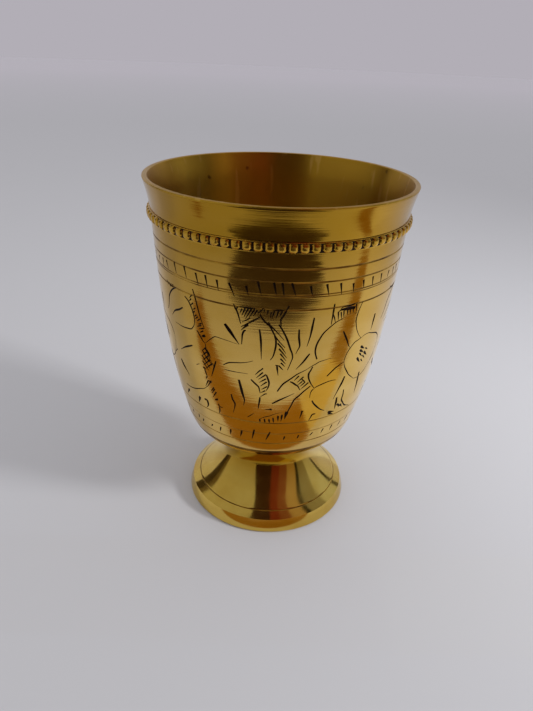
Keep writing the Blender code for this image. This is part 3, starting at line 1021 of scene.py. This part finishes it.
def bowl_outside(bowl, fineness):
    """The bowl's outer outline from its seat to its lip."""
    seat = station(NECK_RADIUS, SEAT_HEIGHT)
    heel = station(bowl.heel_radius, SEAT_HEIGHT + bowl.heel_height)
    belly = station(bowl.belly_radius, SEAT_HEIGHT + bowl.belly_height)
    shoulder = station(bowl.shoulder_radius, BOWL_HIGH.z - bowl.shoulder_drop)
    lip = station(bowl.lip_radius, BOWL_HIGH.z)
    under = bow(seat, bowl.seat_lean, heel, bowl.heel_lean, UNDER_POINTS * fineness)
    lower = bow(heel, bowl.heel_lean, belly, bowl.belly_lean, LOWER_POINTS * fineness)
    wall = bow(belly, bowl.belly_lean, shoulder, bowl.shoulder_lean, WALL_POINTS * fineness)
    flare = bow(shoulder, bowl.shoulder_lean, lip, bowl.lip_lean, FLARE_POINTS * fineness)
    return under + lower[1:] + wall[1:] + flare[1:]


def depth_under(outside, place):
    """How deep a point lies under the turned wall, square to it."""
    return (at_height(outside, place.z).x - place.xy.length) * normal_at(outside, place.z).x


class TUMBLER_OT_foot(bpy.types.Operator):
    """Turn the hollow foot, with its rounded rim and its scribed line"""

    bl_idname = "tumbler.make_foot"
    bl_label = "Foot"

    def execute(self, context):
        foot = context.scene.tumbler.foot
        finish = context.scene.tumbler.finish
        round_centre = station(FOOT_HIGH.x - foot.rim_round, foot.rim_round)
        edge = arc(round_centre, foot.rim_round, foot.rim_round, -90, 0, RIM_POINTS)
        rim_top = station(FOOT_HIGH.x - foot.rim_inset, foot.rim_height)
        rim = edge + bow(edge[-1], foot.rim_lean_low, rim_top, foot.rim_lean_high, RIM_POINTS)[1:]
        waist = station(foot.waist_radius, foot.waist_height)
        neck = station(NECK_RADIUS, FOOT_HIGH.z)
        flank = bow(rim_top, foot.flank_lean_low, waist, foot.flank_lean_high, FLANK_POINTS)
        side = flank + bow(waist, foot.flank_lean_high, neck, foot.throat_lean, THROAT_POINTS)[1:]
        web_under = FOOT_HIGH.z - foot.web
        under_side = offset(side, foot.wall)
        hollow = between(under_side, max(under_side[0].z, foot.land), web_under)
        scribed = scribe(side, [(foot.line_height, foot.line_width, foot.line_depth)])
        outline = [station(SOCKET_RADIUS, FOOT_HIGH.z), *reversed(scribed[1:]), *reversed(rim)]
        outline += [station(hollow[0].x, 0.0), *hollow, station(SOCKET_RADIUS, web_under)]
        bm = turned(outline, True, TURN_STEPS)
        for face in bm.faces:
            middle = face.calc_center_median()
            if abs(middle.z - foot.line_height) < foot.line_width:
                if SHALLOW_LINE < depth_under(side, middle) < foot.line_depth:
                    face.material_index = SECOND_FINISH
        worn = shared_material("worn_line_patina", worn_patina, finish)
        piece = new_object("polished_foot", bm, [mirror_brass(finish), worn])
        smooth(piece.data)
        dress(piece, "foot")
        return {"FINISHED"}


class TUMBLER_OT_braze(bpy.types.Operator):
    """Run the ring of braze round the neck"""

    bl_idname = "tumbler.make_braze"
    bl_label = "Neck braze"

    def execute(self, context):
        finish = context.scene.tumbler.finish
        middle = (BRAZE_LOW.z + BRAZE_HIGH.z) / 2
        rise = (BRAZE_HIGH.z - BRAZE_LOW.z) / 2
        bead = arc(station(NECK_RADIUS, middle), BRAZE_HIGH.x - NECK_RADIUS, rise, -90, 90, RIM_POINTS)
        section = [station(SOCKET_RADIUS, BRAZE_LOW.z), *bead, station(SOCKET_RADIUS, BRAZE_HIGH.z)]
        alloy = flowed_metal("set_brazing_alloy", finish.braze, roughness=0.28)
        piece = new_object("braze_ring", turned(section, True, TURN_STEPS), [alloy])
        smooth(piece.data)
        dress(piece, "neck_braze")
        return {"FINISHED"}


class TUMBLER_OT_bowl(bpy.types.Operator):
    """Turn the bowl, scribe its lines and engrave its ornament"""

    bl_idname = "tumbler.make_bowl"
    bl_label = "Bowl"

    def execute(self, context):
        bowl = context.scene.tumbler.bowl
        finish = context.scene.tumbler.finish
        outside = bowl_outside(bowl, 1)
        exact = bowl_outside(bowl, EXACT)
        floor_top = SEAT_HEIGHT + bowl.floor
        lip_top = BOWL_HIGH.z
        wall_top = lip_top - bowl.lip_edge
        inside = between(offset(outside, bowl.wall), floor_top, lip_top - INNER_LIP_ROUND)
        mouth = inside[-1]
        seat_low = BAND_LOW.z - FIT_CLEARANCE
        seat_high = BAND_HIGH.z + FIT_CLEARANCE
        lines = [(height * MM, width * MM, depth * MM) for height, width, depth in TURNED_LINES]
        below = scribe(between(outside, SEAT_HEIGHT, seat_low), lines)
        above = between(outside, seat_high, wall_top)
        edge = station(bowl.lip_radius - bowl.lip_edge, wall_top)
        outer_round = arc(edge, above[-1].x - edge.x, bowl.lip_edge, 90, 0, LIP_POINTS)
        mouth_centre = station(mouth.x + INNER_LIP_ROUND, mouth.z)
        mouth_round = arc(mouth_centre, INNER_LIP_ROUND, INNER_LIP_ROUND, 180, 90, LIP_POINTS)
        band_seat = [station(BAND_SEAT_RADIUS, seat_high), station(BAND_SEAT_RADIUS, seat_low)]
        spigot = [station(SPIGOT_RADIUS, SEAT_HEIGHT), station(SPIGOT_RADIUS, BOWL_LOW.z)]
        outline = [station(0.0, floor_top), *inside[:-1], *mouth_round, *outer_round[:-1], *reversed(above)]
        outline += [*band_seat, *reversed(below), *spigot, station(0.0, BOWL_LOW.z)]
        bm = turned(outline, False, TURN_STEPS)
        for face in bm.faces:
            middle = face.calc_center_median()
            depth = depth_under(exact, middle)
            if middle.z > mouth.z or (middle.z > SEAT_HEIGHT and depth > bowl.wall / 2):
                face.material_index = BORED
            elif SEAT_HEIGHT < middle.z < wall_top and depth > SHALLOW_LINE:
                face.material_index = PATINA if depth > DEEP_LINE else LINE
        patina = shared_material("oxide_patina", dark_patina, finish)
        brass = turned_brass(finish)
        worn = shared_material("worn_line_patina", worn_patina, finish)
        metals = [brass, patina, bored_brass(finish), worn, brass]
        piece = new_object("turned_bowl", bm, metals)
        engrave(piece, exact)
        true_normals(piece.data, exact, wall_top)
        dress(piece, "bowl")
        return {"FINISHED"}


class TUMBLER_OT_solder(bpy.types.Operator):
    """Lay the film of solder behind the beaded band"""

    bl_idname = "tumbler.make_solder"
    bl_label = "Band solder"

    def execute(self, context):
        finish = context.scene.tumbler.finish
        inner = BAND_SEAT_RADIUS + FIT_CLEARANCE
        section = [
            station(inner, SOLDER_HIGH.z),
            station(SOLDER_HIGH.x, SOLDER_HIGH.z),
            station(SOLDER_HIGH.x, SOLDER_LOW.z),
            station(inner, SOLDER_LOW.z),
        ]
        tin = flowed_metal("set_soft_solder", finish.solder, roughness=0.38)
        piece = new_object("solder_film", turned(section, True, TURN_STEPS), [tin])
        smooth(piece.data)
        dress(piece, "band_solder")
        return {"FINISHED"}


class TUMBLER_OT_band(bpy.types.Operator):
    """Roll the beaded band that goes round the shoulder"""

    bl_idname = "tumbler.make_band"
    bl_label = "Beaded band"

    def execute(self, context):
        band = context.scene.tumbler.band
        finish = context.scene.tumbler.finish
        inner = SOLDER_HIGH.x + FIT_CLEARANCE
        outer = inner + band.thickness
        middle = (BAND_LOW.z + BAND_HIGH.z) / 2
        half = (BAND_HIGH.z - BAND_LOW.z) / 2 - band.margin
        rows = [middle + half * math.cos(math.pi * row / BEAD_ROWS) for row in range(BEAD_ROWS + 1)]
        edge_centre = station(outer - band.edge, BAND_HIGH.z - band.edge)
        face = arc(edge_centre, band.edge, band.edge, 90, 0, LIP_POINTS)
        face += [station(outer, height) for height in (*rows, BAND_LOW.z)]
        section = [station(inner, BAND_HIGH.z), *face, station(inner, BAND_LOW.z)]
        bm = turned(section, True, band.beads * BEAD_STEPS)
        start = band.first_bead - math.pi / 2
        bmesh.ops.rotate(bm, verts=bm.verts, cent=ORIGIN, matrix=Matrix.Rotation(start, 3, "Z"))
        for vert in bm.verts:
            radius = vert.co.xy.length
            if radius > outer - band.edge / 2:
                swell = max(0.0, 1 - self.reach(vert.co, band, start, middle, half)) ** 0.5
                vert.co.xy *= 1 + band.rise * swell / radius
        for face in bm.faces:
            place = face.calc_center_median()
            if place.xy.length > outer - band.edge / 4 and abs(place.z - middle) < half:
                if self.reach(place, band, start, middle, half) > BEAD_EDGE:
                    face.material_index = SECOND_FINISH
        bmesh.ops.recalc_face_normals(bm, faces=bm.faces)
        metals = [rolled_brass(finish), shared_material("oxide_patina", dark_patina, finish)]
        piece = new_object("bead_ring", bm, metals)
        smooth(piece.data)
        dress(piece, "beaded_band")
        return {"FINISHED"}

    def reach(self, place, band, start, middle, half):
        """How far a point lies from the middle of its bead, where 1 is the bead's rounded outline."""
        pitch = math.tau / band.beads
        turn = (math.atan2(place.y, place.x) - start) / pitch
        across = abs(turn - round(turn)) * pitch / (pitch / 2 - band.slot / SOLDER_HIGH.x / 2)
        up = abs(place.z - middle) / half
        square = BEAD_TOP_SQUARE if place.z > middle else BEAD_FOOT_SQUARE
        return across ** square + up ** square


class TUMBLER_OT_stage(bpy.types.Operator):
    """Lay the floor, hang the light and its cards, and set the camera"""

    bl_idname = "tumbler.set_stage"
    bl_label = "Stage"

    def execute(self, context):
        stage = context.scene.tumbler.stage
        self.lay_floor(stage)
        self.hang_panel()
        for card in FLOOR_CARDS:
            self.lay_card(*card)
        for card in DOME_CARDS:
            self.bend_card(*card)
        self.fill_world(context.scene, stage)
        self.set_camera(context.scene, stage)
        context.scene.view_settings.view_transform = "Standard"
        return {"FINISHED"}

    def lay_floor(self, stage):
        bm = bmesh.new()
        bmesh.ops.create_circle(bm, cap_ends=True, segments=FLOOR_SIDES, radius=FLOOR_RADIUS)
        paper, tree, shader = new_material("matt_paper_sweep", stage.floor, roughness=0.7, metallic=0.0)
        place = add_node(tree, "ShaderNodeTexCoord").outputs["Object"]
        away = add_node(tree, "ShaderNodeVectorMath", {0: place}, operation="LENGTH").outputs["Value"]
        inputs = {"Value": away, "From Min": FADE_FROM, "From Max": FADE_TO}
        # Painted light: the floor's tone grows lighter with distance from the cup
        painted_light_fade = add_node(tree, "ShaderNodeMapRange", inputs).outputs["Result"]
        layer_tones(tree, shader, stage.floor, (painted_light_fade, stage.painted_light_far_floor))
        floor = new_object("floor", bm, [paper])

    def hang_panel(self):
        """A soft panel with a grid over it, which keeps its light near the place that it is aimed at."""
        lamp = bpy.data.lights.new("key_panel", "AREA")
        lamp.size = PANEL_SIZE
        lamp.spread = PANEL_SPREAD
        lamp.energy = PANEL_POWER
        panel = bpy.data.objects.new("key_panel", lamp)
        panel.location = PANEL_PLACE
        panel.rotation_euler = (PANEL_AIM - PANEL_PLACE).to_track_quat("-Z", "Y").to_euler()
        panel.visible_camera = False
        panel.visible_glossy = False
        bpy.context.scene.collection.objects.link(panel)

    def lay_card(self, name, place, size, code):
        """A card laid flat just over the floor."""
        bm = bmesh.new()
        bmesh.ops.create_grid(bm, x_segments=1, y_segments=1, size=0.5)
        bmesh.ops.scale(bm, verts=bm.verts, vec=(*size, 1.0))
        bmesh.ops.translate(bm, verts=bm.verts, vec=(*place, CARD_LIFT))
        self.add_card(name, bm, code)

    def bend_card(self, name, turns, elevations, code):
        """A card bent over the cup like a gore of a dome."""
        left, right = turns
        low, high = elevations
        bm = bmesh.new()
        foot = Matrix.Rotation(math.radians(-low), 3, "X") @ Vector((0.0, -DOME_RADIUS, 0.0))
        verts = [bm.verts.new(foot)]
        rise = math.radians(high - low)
        bmesh.ops.spin(bm, geom=verts, cent=ORIGIN, axis=(-1.0, 0.0, 0.0), angle=rise, steps=DOME_STEPS)
        start = Matrix.Rotation(math.radians(left), 3, "Z")
        bmesh.ops.rotate(bm, verts=bm.verts, cent=ORIGIN, matrix=start)
        edge = bm.verts[:] + bm.edges[:]
        sweep = math.radians(right - left)
        bmesh.ops.spin(bm, geom=edge, cent=ORIGIN, axis=UP, angle=sweep, steps=DOME_STEPS)
        self.add_card(name, bm, code)

    def add_card(self, name, bm, code):
        """A card that only the metal sees, as a studio uses to put dark or warmth into a mirror."""
        paper = new_material(name, linear(code), roughness=0.9, metallic=0.0)[0]
        card = new_object(name, bm, [paper])
        card.visible_camera = False
        card.visible_diffuse = False
        card.visible_shadow = False

    def fill_world(self, scene, stage):
        """A pale surround, with the backdrop's tone where the camera or the metal looks past the floor."""
        world = bpy.data.worlds.new("pale_surround")
        world.use_nodes = True
        scene.world = world
        tree = world.node_tree
        air = tree.nodes["Background"]
        air.inputs["Color"].default_value = (*stage.sky, 1.0)
        air.inputs["Strength"].default_value = 1.0
        seen = add_node(tree, "ShaderNodeBackground", {"Color": (*stage.far, 1.0)})
        ray = add_node(tree, "ShaderNodeLightPath").outputs
        looking = ray["Is Camera Ray"]
        for kind in ("Is Glossy Ray", "Is Transmission Ray"):
            either = {0: looking, 1: ray[kind]}
            looking = add_node(tree, "ShaderNodeMath", either, operation="MAXIMUM").outputs["Value"]
        sides = {"Fac": looking, 1: air.outputs["Background"], 2: seen.outputs["Background"]}
        both = add_node(tree, "ShaderNodeMixShader", sides)
        tree.links.new(both.outputs["Shader"], tree.nodes["World Output"].inputs["Surface"])

    def set_camera(self, scene, stage):
        pitch, yaw, roll = stage.camera_pitch, stage.camera_yaw, stage.camera_roll
        ahead = Vector((math.sin(yaw) * math.cos(pitch), math.cos(yaw) * math.cos(pitch), -math.sin(pitch)))
        level = Vector((math.cos(yaw), -math.sin(yaw), 0.0))
        upright = level.cross(ahead)
        right = math.cos(roll) * level + math.sin(roll) * upright
        top = math.cos(roll) * upright - math.sin(roll) * level
        pose = Matrix((right, top, -ahead)).transposed().to_4x4()
        pose.translation = (0.0, -stage.camera_distance, stage.camera_height)
        lens = bpy.data.cameras.new("camera")
        lens.sensor_width = SENSOR
        lens.lens = FOCAL_PIXELS / IMAGE_HEIGHT * SENSOR
        lens.clip_start = NEAREST_SEEN
        camera = bpy.data.objects.new("camera", lens)
        camera.matrix_world = pose
        scene.collection.objects.link(camera)
        scene.camera = camera


class TUMBLER_PT_sidebar(bpy.types.Panel):
    """Settings and makers of the tumbler"""

    bl_idname = "TUMBLER_PT_sidebar"
    bl_label = "Brass tumbler"
    bl_space_type = "VIEW_3D"
    bl_region_type = "UI"
    bl_category = "Tumbler"

    def draw(self, context):
        settings = context.scene.tumbler
        for name in ("foot", "bowl", "band", "finish", "stage"):
            group = getattr(settings, name)
            box = self.layout.box()
            box.label(text=name.capitalize())
            for key in group.__annotations__:
                box.prop(group, key)
        for operator in OPERATORS:
            self.layout.operator(operator.bl_idname)


OPERATORS = (
    TUMBLER_OT_foot,
    TUMBLER_OT_braze,
    TUMBLER_OT_bowl,
    TUMBLER_OT_solder,
    TUMBLER_OT_band,
    TUMBLER_OT_stage,
)
CLASSES = (
    TumblerBowlSettings,
    TumblerBandSettings,
    TumblerFootSettings,
    TumblerFinishSettings,
    TumblerStageSettings,
    TumblerSettings,
    *OPERATORS,
    TUMBLER_PT_sidebar,
)


def register():
    for made in CLASSES:
        bpy.utils.register_class(made)
    bpy.types.Scene.tumbler = PointerProperty(
        type=TumblerSettings, name="Tumbler", description="All settings of the tumbler"
    )


def unregister():
    del bpy.types.Scene.tumbler
    for made in reversed(CLASSES):
        bpy.utils.unregister_class(made)


def main():
    register()
    bpy.ops.tumbler.make_foot()
    bpy.ops.tumbler.make_braze()
    bpy.ops.tumbler.make_bowl()
    bpy.ops.tumbler.make_solder()
    bpy.ops.tumbler.make_band()
    bpy.ops.tumbler.set_stage()


if __name__ == "__main__":
    main()
